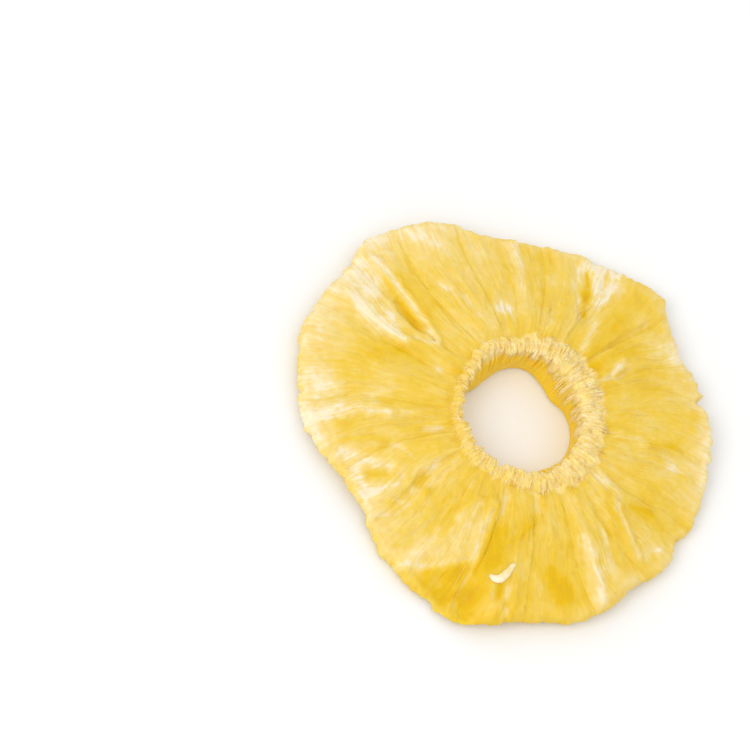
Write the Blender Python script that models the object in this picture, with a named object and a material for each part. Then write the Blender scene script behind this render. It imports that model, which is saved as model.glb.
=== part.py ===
"""A dried pineapple ring: one solid slice with a ragged core hole, lying flat on its underside.

The ring is a closed band of cross-sections. Each section runs up the wall of the core hole, over the
crimped crest round it, out across the flesh, round the lip and back along the underside. Lengths are
millimetres until the mesh is made, and angles are degrees, counter-clockwise seen from above, from +X.
Polar places are measured from the middle of the core hole.
"""

import bpy
import numpy as np

MM = 0.001
NODE = "pineapple_ring"

# How finely the ring is divided: round it, and along each stretch of its cross-section.
COLUMNS = 144
WALL_ROWS = 5
CREST_ROWS = 4
FLESH_ROWS = 11
LIP_ROWS = 4
UNDER_ROWS = 8

# Heights above the surface that the ring lies on: the flesh at the core, and how far the crest tops it.
CORE_HEIGHT = 8.4
CREST_HEIGHT = 1.1

# The outline, the core hole at its crest and at its foot: smooth closed curves through (angle, radius).
RIM = (
    (0, 42.1), (14, 41.3), (29, 40.6), (40, 44.2), (50, 42.3), (65, 40.3), (80, 38.5), (94, 38.6),
    (104, 41.7), (117, 44.5), (128, 45.8), (136, 44.5), (150, 45.1), (163, 46.0), (173, 44.3),
    (185, 44.0), (195, 40.8), (206, 38.7), (225, 41.1), (241, 43.0), (252, 44.6), (263, 42.6),
    (274, 41.3), (285, 42.0), (293, 41.6), (305, 40.3), (318, 41.7), (337, 41.7), (349, 41.5),
)
HOLE = (
    (0, 12.3), (30, 12.7), (62, 13.1), (90, 12.6), (118, 13.1), (140, 12.3), (160, 12.3), (182, 12.9),
    (206, 12.3), (232, 12.9), (256, 12.2), (284, 12.9), (320, 12.3),
)
THROAT = (
    (2, 12.9), (16, 12.4), (34, 11.0), (50, 11.8), (71, 12.8), (92, 11.8), (112, 10.4), (134, 10.0),
    (152, 11.2), (178, 12.3), (210, 11.9), (240, 12.3), (270, 11.8), (300, 10.9), (325, 12.3), (346, 12.9),
)
WALL_FOOT = 0.8
WALL_FLARE = 1.6

# How wide the crest is, and how high the flesh stands at the rim, by (angle, size).
CREST_WIDTH = (
    (20, 5.4), (50, 5.4), (84, 3.4), (124, 2.6), (172, 2.3), (214, 3.2), (260, 3.4), (315, 5.0), (350, 5.5),
)
RIM_HEIGHT = (
    (25, 4.9), (75, 4.3), (120, 4.8), (160, 4.4), (207, 3.3), (245, 4.8), (285, 4.9), (330, 4.3),
)
FALL = 1.15

# The lip: how far in from the rim it starts to turn down, how that varies, and where it is thickest.
LIP_WIDTH = 1.9
LIP_SWING = 0.5
LIP_MIDDLE = 0.42

# Bites in the rim: (angle, depth, half its width in degrees).
NOTCHES = ((8.6, 1.7, 2.8), (325, 2.0, 4.0), (98, 0.4, 2.5), (214, 0.4, 3.0), (60, 0.4, 2.5))

# The crest's crimps: how many go round, how far they stand in and up.
CRIMPS = (29, 41)
CRIMP_IN = 0.32
CRIMP_UP = 0.22
CREST_ARC = (0.2, 0.95)
CREST_FADE = 3.5

# Fruitlets swell between these creases, which wander as they run out from the core.
CREASES = (22, 37, 57, 76, 90, 103, 122, 138, 153, 178, 198, 214, 233, 250, 270, 290, 308, 328, 350)
SWELL = 1.0
SWELL_SWING = 0.35
WANDER = 2.2
WANDER_LENGTH = 6.5

# Folds that stand proud: (path of (angle, radius) places, half-width, height).
FOLDS = (
    (((131, 42.0), (132.5, 34.5), (135.5, 28), (140, 22)), 1.1, 0.9),
    (((145.5, 41), (147.5, 34), (149.5, 27.5)), 1.4, 0.7),
    (((183.3, 44.5), (181, 36), (182, 28)), 1.5, 0.8),
    (((323.4, 17), (322.5, 24), (315.5, 26.6), (310, 36)), 1.1, 0.7),
    (((352, 18.5), (350, 26.5)), 1.1, 0.5),
    (((25, 18.3), (25, 22), (28.5, 25.5)), 1.1, 0.5),
    (((45, 18.4), (49, 27)), 1.1, 0.5),
    (((240.5, 22), (234, 35), (231, 41)), 1.7, 0.6),
    (((295, 27.5), (291.5, 40)), 1.6, 0.6),
    (((85, 26), (87, 37)), 1.8, 0.5),
    (((249.5, 21), (248, 27), (249, 36), (248, 42)), 1.2, 0.8),
)

# Hollows left by the fruit's eyes and by torn fibres: (path, half-width, depth).
HOLLOWS = (
    (((55.8, 27.6), (57.8, 31.5)), 1.4, 1.7),
    (((59, 33.8), (61, 36)), 1.1, 1.3),
    (((136.3, 32.5), (138, 29), (139.8, 26)), 1.0, 1.4),
    (((204, 34.7), (205, 32)), 1.5, 1.4),
    (((213.8, 25), (214.8, 26.8)), 1.1, 1.1),
    (((259.5, 36.3), (259.4, 38.2)), 1.3, 0.9),
)

# The pared corner: outside the line between two places the top slopes down to the rim.
PARED_FROM = (230.5, 42.2)
PARED_TO = (250, 32.5)
PARED_SLOPE = 0.6
PARED_WIDTH = 6
PARED_END = (-4, 2)

# The underside: how high its waves lift off the surface, and how far the rim curls up.
UNDER_WAVE = 0.9
RIM_CURL = 1.2
CURL_FROM = 0.8

FLESH_COLOUR = (0.90, 0.60, 0.12, 1.0)
FLESH_ROUGHNESS = 0.42


def place(polar):
    """The (x, y) of an (angle, radius) place."""
    angle, radius = np.radians(polar[0]), polar[1]
    return np.stack([radius * np.cos(angle), radius * np.sin(angle)], axis=-1)


def closed_curve(points, angle):
    """The smooth closed curve through (angle, value) points, read at each angle from 0 to 360."""
    at, value = np.array(points, float).T
    at = np.concatenate([at[-2:] - 360, at, at[:2] + 360])
    value = np.concatenate([value[-2:], value, value[:2]])
    slope = np.gradient(value, at)
    k = np.searchsorted(at, angle, side="right") - 1
    span = at[k + 1] - at[k]
    t = (angle - at[k]) / span
    near = value[k] * (1 + 2 * t) * (1 - t) ** 2 + slope[k] * span * t * (1 - t) ** 2
    far = value[k + 1] * t**2 * (3 - 2 * t) - slope[k + 1] * span * t**2 * (1 - t)
    return near + far


def smooth_step(x, low, high):
    t = np.clip((x - low) / (high - low), 0, 1)
    return t * t * (3 - 2 * t)


def turn_between(angle, middle):
    """The signed turn from middle to angle, from -180 to 180."""
    return (angle - middle + 180) % 360 - 180


def crimp(angle, phase):
    """The crest's uneven crimping, from -1 to 1."""
    few, many = (np.sin(np.radians(count * angle) + phase * count) for count in CRIMPS)
    return 0.5 * (few + many)


def rim_radius(angle):
    radius = closed_curve(RIM, angle)
    for middle, depth, half_width in NOTCHES:
        radius = radius - depth * np.exp(-((turn_between(angle, middle) / half_width) ** 2))
    return radius


def hole_radius(angle):
    return closed_curve(HOLE, angle) + CRIMP_IN * crimp(angle, 0.4)


def flesh_start(angle):
    """The radius where the crest meets the flesh."""
    return hole_radius(angle) + closed_curve(CREST_WIDTH, angle)


def lip_start(angle):
    """The radius where the lip starts to turn down."""
    return rim_radius(angle) - LIP_WIDTH - LIP_SWING * np.sin(np.radians(3 * angle))


def path_distance(x, y, path):
    """How far each point is from a path of polar places."""
    corners = [place(polar) for polar in path]
    nearest = np.full(x.shape, np.inf)
    for start, end in zip(corners, corners[1:]):
        run = end - start
        t = np.clip(((x - start[0]) * run[0] + (y - start[1]) * run[1]) / (run @ run), 0, 1)
        gap = np.hypot(x - start[0] - t * run[0], y - start[1] - t * run[1])
        nearest = np.minimum(nearest, gap)
    return nearest


def relief(x, y, marks):
    """The summed height of marks, each a soft line along its path."""
    height = np.zeros(x.shape)
    for path, half_width, peak in marks:
        height += peak * np.exp(-((path_distance(x, y, path) / half_width) ** 2))
    return height


def swell(angle, radius):
    """How far each fruitlet rises between its two creases."""
    bent = (angle + WANDER * np.sin(radius / WANDER_LENGTH + np.radians(3 * angle))) % 360
    at = np.array((CREASES[-1] - 360,) + CREASES + (CREASES[0] + 360,), float)
    k = np.searchsorted(at, bent, side="right") - 1
    t = (bent - at[k]) / (at[k + 1] - at[k])
    size = 0.8 + SWELL_SWING * np.sin(2.4 * (k % len(CREASES)))
    return SWELL * size * np.sqrt(4 * t * (1 - t))


def pared(x, y, height):
    """The height, cut down outside the pared corner's line."""
    start, end = place(PARED_FROM), place(PARED_TO)
    length = np.linalg.norm(end - start)
    along = (end - start) / length
    outside = (x - start[0]) * along[1] - (y - start[1]) * along[0]
    run = (x - start[0]) * along[0] + (y - start[1]) * along[1]
    kept = smooth_step(run, length + PARED_END[0], length + PARED_END[1])
    return height - PARED_SLOPE * np.clip(outside, 0, PARED_WIDTH) * (1 - kept)


def curl(angle):
    """How far the rim curls up off the surface."""
    turn = np.radians(angle)
    return RIM_CURL * (1 + 0.45 * np.sin(4 * turn + 1) + 0.4 * np.sin(7 * turn + 2.2))


def top_height(angle, radius):
    """The upper surface of the flesh, from the crest out to where the lip turns down."""
    x, y = np.moveaxis(place((angle, radius)), -1, 0)
    inner, rim = flesh_start(angle), rim_radius(angle)
    share = np.clip((radius - inner) / (rim - inner), 0, 1)
    edge = closed_curve(RIM_HEIGHT, angle) + curl(angle) - RIM_CURL
    height = CORE_HEIGHT + (edge - CORE_HEIGHT) * share**FALL
    shape = swell(angle, radius) - 0.5 * SWELL + relief(x, y, FOLDS) - relief(x, y, HOLLOWS)
    return pared(x, y, height + smooth_step(radius, inner, inner + CREST_FADE) * shape)


def under_height(angle, radius):
    """The underside: flat where it rests, with shallow waves, and curling up at the rim."""
    turn = np.radians(angle)
    wave = np.sin(5 * turn + 0.23 * radius) + np.sin(3 * turn - 0.17 * radius + 2)
    lift = UNDER_WAVE * np.clip(0.5 * wave - 0.25, 0, None)
    rim = rim_radius(angle)
    return lift + curl(angle) * smooth_step(radius, CURL_FROM * rim, rim)


def wall_rows(angle):
    """Up the wall of the core hole, from its foot to the crest's inner edge."""
    share = np.arange(WALL_ROWS)[:, None] / WALL_ROWS
    low, high = closed_curve(THROAT, angle), hole_radius(angle)
    radius = low + (high - low) * share**WALL_FLARE
    top = CORE_HEIGHT + 0.5 * CREST_HEIGHT
    return radius, np.broadcast_to(WALL_FOOT + (top - WALL_FOOT) * share, radius.shape)


def crest_rows(angle):
    """Over the crimped crest, from its inner edge to the flesh."""
    share = np.arange(CREST_ROWS)[:, None] / CREST_ROWS
    inner, outer = hole_radius(angle), flesh_start(angle)
    start, end = CREST_ARC
    proud = CREST_HEIGHT * np.sin(np.pi * (start + (end - start) * share))
    return inner + share * (outer - inner), CORE_HEIGHT + proud + CRIMP_UP * crimp(angle, 1.3) * (1 - share)


def flesh_rows(angle):
    """Out across the flesh to where the lip turns down."""
    share = np.arange(FLESH_ROWS)[:, None] / FLESH_ROWS
    inner = flesh_start(angle)
    radius = inner + share * (lip_start(angle) - inner)
    return radius, top_height(angle, radius)


def lip_rows(angle):
    """Round the lip, from the top to the underside."""
    start, rim = lip_start(angle), rim_radius(angle)
    turn = np.pi * np.arange(LIP_ROWS + 1)[:, None] / (LIP_ROWS + 1)
    top, bottom = top_height(angle, start), under_height(angle, start)
    middle = bottom + LIP_MIDDLE * (top - bottom)
    reach = np.where(turn < np.pi / 2, top - middle, middle - bottom)
    return start + (rim - start) * np.sin(turn), middle + reach * np.cos(turn)


def under_rows(angle):
    """Back along the underside to the core hole."""
    share = np.arange(UNDER_ROWS)[:, None] / (UNDER_ROWS - 1)
    inner, outer = closed_curve(THROAT, angle) + WALL_FOOT, lip_start(angle)
    radius = outer + share * (inner - outer)
    return radius, under_height(angle, radius)


def ring_points():
    """The ring's points, row by row round the cross-section, centred on the bottom of their box."""
    angle = np.arange(COLUMNS) * 360 / COLUMNS
    stretches = [rows(angle) for rows in (wall_rows, crest_rows, flesh_rows, lip_rows, under_rows)]
    radius, height = (np.concatenate(part) for part in zip(*stretches))
    x, y = np.moveaxis(place((angle, radius)), -1, 0)
    points = np.stack([x, y, height], axis=-1)
    low, high = points.min(axis=(0, 1)), points.max(axis=(0, 1))
    return points - [(low[0] + high[0]) / 2, (low[1] + high[1]) / 2, low[2]]


def band_faces(rows, columns):
    """Four-sided faces of a grid that closes on itself both ways, facing outwards."""
    faces = []
    for row in range(rows):
        below, above = row * columns, (row + 1) % rows * columns
        for column in range(columns):
            after = (column + 1) % columns
            faces.append((below + column, above + column, above + after, below + after))
    return faces


def flesh_material():
    material = bpy.data.materials.new("dried_pineapple")
    material.use_nodes = True
    shader = material.node_tree.nodes["Principled BSDF"]
    shader.inputs["Base Color"].default_value = FLESH_COLOUR
    shader.inputs["Roughness"].default_value = FLESH_ROUGHNESS
    shader.inputs["Metallic"].default_value = 0.0
    return material


def make_ring():
    points = ring_points() * MM
    mesh = bpy.data.meshes.new(NODE)
    mesh.from_pydata(points.reshape(-1, 3).tolist(), [], band_faces(*points.shape[:2]))
    mesh.materials.append(flesh_material())
    mesh.shade_smooth()
    ring = bpy.data.objects.new(NODE, mesh)
    bpy.context.scene.collection.objects.link(ring)
    return ring


def main():
    for old in list(bpy.data.objects):
        bpy.data.objects.remove(old)
    make_ring()


main()
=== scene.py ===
"""A dried pineapple ring: its looks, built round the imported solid.

The ring's mesh has the solid's own form on a finer grid, and adds strips, fibres, torn folds, a crimped
and grainy crest and a ragged rim. Strands, threads, grains and a seed husk lie on it. Lengths are
millimetres until a mesh is made. Angles are degrees, counter-clockwise seen from above, from +X, and
polar places are measured from the middle of the core hole.
"""

import itertools

import bpy
import numpy as np
from mathutils import Matrix, Vector


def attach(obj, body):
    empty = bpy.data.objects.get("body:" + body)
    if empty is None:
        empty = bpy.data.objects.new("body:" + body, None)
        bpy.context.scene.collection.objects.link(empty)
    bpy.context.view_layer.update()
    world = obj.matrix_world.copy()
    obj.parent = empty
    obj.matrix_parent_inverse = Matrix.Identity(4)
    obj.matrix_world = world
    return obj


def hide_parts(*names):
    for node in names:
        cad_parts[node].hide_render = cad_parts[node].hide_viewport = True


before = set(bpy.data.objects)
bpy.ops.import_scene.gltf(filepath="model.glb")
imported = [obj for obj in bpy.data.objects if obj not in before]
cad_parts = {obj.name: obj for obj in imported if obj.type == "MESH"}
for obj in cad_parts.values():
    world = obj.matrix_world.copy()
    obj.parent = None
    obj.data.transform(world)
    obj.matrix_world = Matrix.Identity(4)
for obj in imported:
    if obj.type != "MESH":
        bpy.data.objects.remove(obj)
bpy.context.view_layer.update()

MM = 0.001
NODE = "pineapple_ring"

# -------------------- the solid's form, as in its source

SOLID_COLUMNS = 144
CORE_HEIGHT = 8.4
CREST_HEIGHT = 1.1
RIM = (
    (0, 42.1), (14, 41.3), (29, 40.6), (40, 44.2), (50, 42.3), (65, 40.3), (80, 38.5), (94, 38.6),
    (104, 41.7), (117, 44.5), (128, 45.8), (136, 44.5), (150, 45.1), (163, 46.0), (173, 44.3),
    (185, 44.0), (195, 40.8), (206, 38.7), (225, 41.1), (241, 43.0), (252, 44.6), (263, 42.6),
    (274, 41.3), (285, 42.0), (293, 41.6), (305, 40.3), (318, 41.7), (337, 41.7), (349, 41.5),
)
HOLE = (
    (0, 12.3), (30, 12.7), (62, 13.1), (90, 12.6), (118, 13.1), (140, 12.3), (160, 12.3), (182, 12.9),
    (206, 12.3), (232, 12.9), (256, 12.2), (284, 12.9), (320, 12.3),
)
THROAT = (
    (2, 12.9), (16, 12.4), (34, 11.0), (50, 11.8), (71, 12.8), (92, 11.8), (112, 10.4), (134, 10.0),
    (152, 11.2), (178, 12.3), (210, 11.9), (240, 12.3), (270, 11.8), (300, 10.9), (325, 12.3), (346, 12.9),
)
WALL_FOOT = 0.8
WALL_FLARE = 1.6
CREST_WIDTH = (
    (20, 5.4), (50, 5.4), (84, 3.4), (124, 2.6), (172, 2.3), (214, 3.2), (260, 3.4), (315, 5.0), (350, 5.5),
)
RIM_HEIGHT = (
    (25, 4.9), (75, 4.3), (120, 4.8), (160, 4.4), (207, 3.3), (245, 4.8), (285, 4.9), (330, 4.3),
)
FALL = 1.15
LIP_WIDTH = 1.9
LIP_SWING = 0.5
LIP_MIDDLE = 0.42
NOTCHES = ((8.6, 1.7, 2.8), (325, 2.0, 4.0), (98, 0.4, 2.5), (214, 0.4, 3.0), (60, 0.4, 2.5))
CRIMPS = (29, 41)
CRIMP_IN = 0.32
CRIMP_UP = 0.22
CREST_ARC = (0.2, 0.95)
CREST_FADE = 3.5
CREASES = (22, 37, 57, 76, 90, 103, 122, 138, 153, 178, 198, 214, 233, 250, 270, 290, 308, 328, 350)
SWELL = 1.0
SWELL_SWING = 0.35
WANDER = 2.2
WANDER_LENGTH = 6.5
FOLDS = (
    (((131, 42.0), (132.5, 34.5), (135.5, 28), (140, 22)), 1.1, 0.9),
    (((145.5, 41), (147.5, 34), (149.5, 27.5)), 1.4, 0.7),
    (((183.3, 44.5), (181, 36), (182, 28)), 1.5, 0.8),
    (((323.4, 17), (322.5, 24), (315.5, 26.6), (310, 36)), 1.1, 0.7),
    (((352, 18.5), (350, 26.5)), 1.1, 0.5),
    (((25, 18.3), (25, 22), (28.5, 25.5)), 1.1, 0.5),
    (((45, 18.4), (49, 27)), 1.1, 0.5),
    (((240.5, 22), (234, 35), (231, 41)), 1.7, 0.6),
    (((295, 27.5), (291.5, 40)), 1.6, 0.6),
    (((85, 26), (87, 37)), 1.8, 0.5),
    (((249.5, 21), (248, 27), (249, 36), (248, 42)), 1.2, 0.8),
)
HOLLOWS = (
    (((55.8, 27.6), (57.8, 31.5)), 1.4, 1.7),
    (((59, 33.8), (61, 36)), 1.1, 1.3),
    (((136.3, 32.5), (138, 29), (139.8, 26)), 1.0, 1.4),
    (((204, 34.7), (205, 32)), 1.5, 1.4),
    (((213.8, 25), (214.8, 26.8)), 1.1, 1.1),
    (((259.5, 36.3), (259.4, 38.2)), 1.3, 0.9),
)
PARED_FROM = (230.5, 42.2)
PARED_TO = (250, 32.5)
PARED_SLOPE = 0.6
PARED_WIDTH = 6
PARED_END = (-4, 2)
UNDER_WAVE = 0.9
RIM_CURL = 1.2
CURL_FROM = 0.8

# -------------------- the fine form

# The finer grid: columns round it, rows along each stretch of its cross-section.
COLUMNS = 864
WALL_ROWS = 12
CREST_ROWS = 14
FLESH_ROWS = 68
LIP_ROWS = 10
UNDER_ROWS = 10

# The rows over which one look gives way to the next, counted from the first row of the later stretch.
OFF_WALL = (-3, 1)
INTO_CREST = (-4, 0)
OFF_CREST = (-2, 1.5)
INTO_FLESH = (-3, 3)
INTO_LIP = (-2, 2)
OFF_LIP = (-2, 1)
INTO_UNDER = (-2, 0)
LIP_CALM = 0.5

# Softer than in the solid: (the swells' height at their creases, at their tops, their roundness), and
# the hollows' share of their depth.
SOFT_SWELL = (0.40, 0.95, 0.8)
HOLLOW_SHARE = 0.62

# Bundles of fibre that run out from the core: (how many round, length, size, seed).
STRIPS = (58, 9.0, 0.17, 11)
FIBRES = (150, 5.0, 0.08, 12)
HAIRS = (330, 3.0, 0.04, 13)
BENDS = ((13, 11.0, 2.0, 14), (34, 5.0, 0.7, 17))
FOLD_SHARPNESS = 1.6

# Where the fibres are calm: (how many round, length, size, seed), and the noise where they fade and stand.
CALM = (11, 9.0, 1.0, 15)
CALM_LIMITS = (-0.9, 0.5)

# Marks on the flesh: (path of (angle, radius, half-width) places, height, paleness; below 0 is deeper gold,
# which in slits, pits, furrows and beside folds is painted shade).
MARKS = (
    # the long fold at the upper left, with a golden line of painted shade along each side
    (
        ((131.5, 41, 0.4), (131.5, 37, 0.6), (133.5, 33, 0.7), (135.5, 27.5, 0.6), (138.5, 25, 0.8),
         (140.5, 22.5, 0.7)),
        0.50, 0.38,
    ),
    (((132.5, 39.5, 0.4), (134, 36, 0.5), (135.5, 33.5, 0.6)), -0.35, -0.34),
    (((129.5, 36, 0.6), (131, 31, 1.2), (133, 26, 1)), -0.20, -0.24),
    # the torn wedge beside it: its slit, deeper gold as painted shade, its flake, its bright streak and its
    # bridge
    (((135.5, 32, 0.5), (137.5, 29, 0.8), (139, 26.5, 0.8)), -0.30, -0.44),
    (((136, 41.5, 2.4), (139.5, 37, 2.7), (143, 33, 2.2), (146, 30, 1.4)), 0.05, 0.34),
    (((145.5, 39.5, 0.5), (147, 36, 1.2), (148, 32, 1.9), (150, 27, 0.7)), 0.30, 0.46),
    (((145.5, 26, 0.5), (143.5, 23, 0.6), (141.5, 22.5, 0.6)), 0.30, 0.32),
    (((151, 24, 2), (155, 28, 2.6), (159, 32, 2)), -0.08, -0.13),
    (((120.5, 31, 0.5), (114, 26.5, 0.8), (111.5, 21.5, 0.8)), 0.15, 0.24),
    (((155, 19, 0.8), (155, 18, 0.8)), 0.40, 0.36),
    # the left fold, the grooves below it, deeper gold as painted shade, and the oval bump
    (((183.5, 44.5, 1.4), (182.5, 40, 1.3), (181, 34, 0.9), (182.5, 28, 0.5)), 0.25, 0.36),
    (((185.5, 43, 1.3), (191.5, 41, 1.5)), 0.10, 0.16),
    (((191, 38.5, 0.4), (191, 33, 0.5), (194, 29, 0.4)), -0.35, -0.32),
    (((192, 21, 0.7), (194, 17.5, 0.6)), 0.35, 0.38),
    (((182.5, 25, 0.4), (183, 23, 0.4)), 0.20, 0.26),
    (((195, 29, 0.4), (198.5, 27, 0.4), (202.5, 26, 0.3)), 0.25, 0.26),
    (((173, 41, 2.4), (177, 36, 3), (175, 31, 2)), 0.00, 0.20),
    # the torn patch at the lower left, its cavity and its pits, deeper gold as painted shade, and its loose
    # strands
    (((194, 38, 1.1), (196.5, 35.5, 1.2), (201, 33, 0.9), (203.5, 30.5, 0.6)), 0.35, 0.46),
    (((201, 37, 1.2), (206.5, 37, 1.2)), 0.30, 0.44),
    (((208.5, 37, 1.2), (209.5, 33, 1.3), (211, 30, 0.8), (209, 29, 0.6)), 0.40, 0.50),
    (((203.5, 34.5, 0.6), (205, 32.5, 0.9)), -0.10, -0.16),
    (((216, 36.5, 0.4), (219, 34, 0.4), (219, 30.5, 0.4)), 0.25, 0.30),
    (((213.5, 32.5, 0.6), (217.5, 32, 0.7), (215.5, 28.5, 0.6)), 0.20, 0.26),
    (((214.5, 26.5, 0.6), (214, 25, 0.6)), -0.25, -0.40),
    (((220, 27.5, 0.5), (219.5, 26.5, 0.5)), -0.60, -0.42),
    (((215.5, 27, 0.4), (211, 21.5, 0.4)), 0.35, 0.30),
    (((218.5, 26, 0.4), (216.5, 18, 0.4)), 0.30, 0.24),
    # the sheen ridge, the pale field beside it and the pared corner
    (((232.5, 33.5, 0.6), (237.5, 26, 0.6), (241.5, 22, 0.5)), 0.25, 0.20),
    (((233, 17, 0.3), (232, 22, 0.35), (229, 30, 0.35), (227, 34.5, 0.3)), 0.25, 0.22),
    (((234, 37.5, 2.2), (238.5, 32, 2.6), (243.5, 26, 2)), 0.05, 0.22),
    (((230, 41, 0.5), (234, 39, 0.6), (240.5, 36, 0.45), (246.5, 33, 0.3)), 0.30, 0.34),
    (((238, 39, 1), (243.5, 37, 1.7), (247, 35, 1.2)), -0.10, -0.32),
    (((240, 41, 1.8), (247, 40, 2.6), (254, 38, 2.2)), -0.05, -0.30),
    (((244.5, 36, 1.6), (252, 34.5, 2.2), (257, 32, 1.8)), -0.05, -0.24),
    # the double ridge and its furrows, deeper gold as painted shade, then a painted shadow under a fold and
    # the pale patch beside it
    (
        ((250, 22.5, 0.5), (248.5, 25, 0.9), (248, 27.5, 0.5), (248, 32, 0.45), (249, 36, 0.5),
         (248.5, 42, 0.6)),
        0.45, 0.40,
    ),
    (((253, 17.5, 0.4), (253.5, 21.5, 0.5), (253, 24.5, 0.3)), 0.30, 0.30),
    (((255.5, 17, 0.3), (255, 20, 0.4), (255, 24.5, 0.3)), 0.30, 0.24),
    (((251.5, 21, 0.5), (251, 27, 0.9), (251, 33, 0.8)), -0.40, -0.36),
    (((256.5, 25, 0.9), (255, 31, 1)), -0.20, -0.26),
    (((277, 21, 0.4), (274, 22, 0.5), (264.5, 25.5, 0.5), (260, 27.5, 0.4)), -0.35, -0.26),
    (((274.5, 16.5, 1), (275, 20, 1)), 0.20, 0.28),
    # round the seed, its hollow deeper gold as painted shade
    (((259.5, 36.5, 0.6), (259.5, 38, 0.7)), -0.20, -0.34),
    (((257, 38, 0.6), (257.5, 39, 0.5)), 0.25, 0.34),
    (((261.5, 36.5, 0.6), (262, 41, 0.8)), 0.30, 0.38),
    # the bottom
    (((276.5, 33, 2), (280.5, 37.5, 3.2)), -0.10, -0.36),
    (((293.5, 27.5, 1), (294, 30.5, 1.8), (293, 35, 1.8), (291, 40, 1.3)), 0.05, 0.36),
    (((303.5, 28, 0.5), (301, 32.5, 0.9), (297.5, 37, 0.8)), 0.15, 0.28),
    (((313, 37, 0.9), (318.5, 38, 0.8)), 0.10, 0.26),
    # the long ridge at the lower right, its thin tail and, past it, the painted shadow of a fold in deeper
    # gold
    (
        ((322, 17, 1), (321.5, 20, 1.1), (322.5, 23.5, 0.9), (320.5, 25.5, 0.7), (318, 25.5, 0.6),
         (315.5, 26.5, 0.5)),
        0.45, 0.36,
    ),
    (((315.5, 26.5, 0.45), (312, 31, 0.35), (310, 35.5, 0.4)), 0.35, 0.26),
    (((312.5, 24, 0.3), (313, 27, 0.4), (311, 31.5, 0.4), (309, 35.5, 0.3)), -0.25, -0.26),
    (((322, 28.5, 0.7), (325, 32, 1.6), (324.5, 36, 1.9)), -0.20, -0.34),
    (((326, 31.5, 0.25), (326, 32, 0.25)), -0.20, -0.60),
    (((347, 32, 0.5), (344.5, 35, 0.5)), 0.25, 0.34),
    (((345, 32, 0.4), (343.5, 34, 0.4)), 0.20, 0.28),
    (((351, 19, 0.5), (352, 25.5, 0.4)), 0.25, 0.22),
    (((349.5, 26.5, 0.4), (352.5, 33.5, 0.5)), -0.20, -0.22),
    # the forked ridge and the deep fan at the upper right
    (((25, 18.5, 0.7), (24.5, 21, 0.7), (27, 23, 0.6), (28.5, 25, 0.7)), 0.30, 0.36),
    (((24, 21, 0.5), (22.5, 23.5, 0.5), (25, 26.5, 0.5)), 0.25, 0.30),
    (((41.5, 18.5, 0.9), (42, 30, 2), (44.5, 37, 1.8)), -0.15, -0.22),
    (((35.5, 18.5, 0.8), (31.5, 29, 1.4)), -0.15, -0.20),
    (((39, 18.5, 0.4), (37.5, 30.5, 0.5), (36.5, 37, 0.5)), 0.30, 0.22),
    (((26.5, 33, 2), (24, 39, 2.4)), 0.00, 0.22),
    (((49, 27, 0.8), (47.5, 22, 0.8), (45, 18.5, 0.7)), 0.25, 0.30),
    # the eye: pale flesh round a slit, a pit and a small pit, which are deeper gold as painted shade
    (((62, 38, 1.1), (58.5, 40, 1.3), (54, 41, 1.2)), 0.10, 0.30),
    (((57.5, 38, 1.3), (55, 34, 1.2)), 0.05, 0.24),
    (((53, 41, 1.1), (52.5, 37.5, 1.2), (51.5, 33.5, 0.9), (53, 31, 0.7)), 0.30, 0.42),
    (((64, 36.5, 0.7), (63, 33, 0.7), (60.5, 29.5, 0.6), (56.5, 26, 0.6)), 0.25, 0.36),
    (((61, 36.5, 0.4), (59, 34, 0.4)), -0.20, -0.55),
    (((58, 32, 0.9), (57.5, 30.5, 1)), -0.30, -0.72),
    (((56.5, 28.5, 0.6), (55.5, 27.5, 0.5)), -0.25, -0.60),
    (((60.5, 38, 2.4), (56.5, 37.5, 3.2), (55, 33, 2), (56, 29, 1.2)), 0.00, 0.30),
    # the top
    (((96, 22.5, 1.2), (92.5, 22, 1.2)), 0.50, 0.78),
    (((87, 36.5, 1.4), (85, 32.5, 1.3), (85, 27, 0.7)), 0.10, 0.26),
    (((119, 43, 1.3), (114, 40.5, 1.5), (111, 36, 0.9)), 0.10, 0.26),
)

# How the marks' edges tear along the fibres, how far their width may swing, and how sharply they pale.
RAGGED_MARK = ((130, 3.0, 0.40, 16), (260, 1.2, 0.22, 18))
TORN_LIMITS = (0.3, 2)
MARK_EDGE = 1.7

# How pale the flesh is, how much paler by (angle, paleness), and how much more its rim is.
BASE_TONE = 0.48
FIELD_TONE = (
    (0, 0.0), (20, -0.05), (50, 0.02), (75, 0.04), (100, 0.08), (130, 0.05), (160, 0.01), (185, 0.01),
    (215, 0.03), (240, -0.01), (265, -0.02), (285, 0.0), (305, 0.05), (330, 0.0), (350, 0.03),
)
RIM_TONE = (
    (0, 0.16), (25, 0.16), (45, 0.05), (90, 0.04), (125, 0.18), (150, 0.22), (180, 0.18), (205, 0.08),
    (225, 0.10), (250, -0.08), (280, -0.04), (315, 0.04), (340, 0.13),
)

# Where the rim's paleness starts and is full, as shares of the rim's radius, and how that line wanders.
RIM_FROM = (0.74, 0.97)
RIM_WANDER = (30, 8.0, 0.05, 63)

# The rim's dry crumbs: (cell size, paleness, seed), and their limits by noise and by the rim's paleness.
RIM_CRUMB = (1.1, 0.13, 64)
CRUMB_LIMITS = (-0.6, 0.9)
CRUMB_RIM = (0.04, 0.20)

# Patches of tone: long ones along the fibres and round ones; and the tone of strips and fibres.
LONG_PATCHES = (44, 6.0, 0.12, 60)
ROUND_PATCHES = (18, 8.0, 0.10, 61)
STRIP_TONE = 0.05
FIBRE_TONE = 0.06

# Painted shade from the folds, deeper gold in their hollows and paler on their ridges: the columns and rows
# looked round, the depth that counts, the share.
PAINTED_FOLD_SHADE = (7, 4, 0.45, 0.17)

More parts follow.
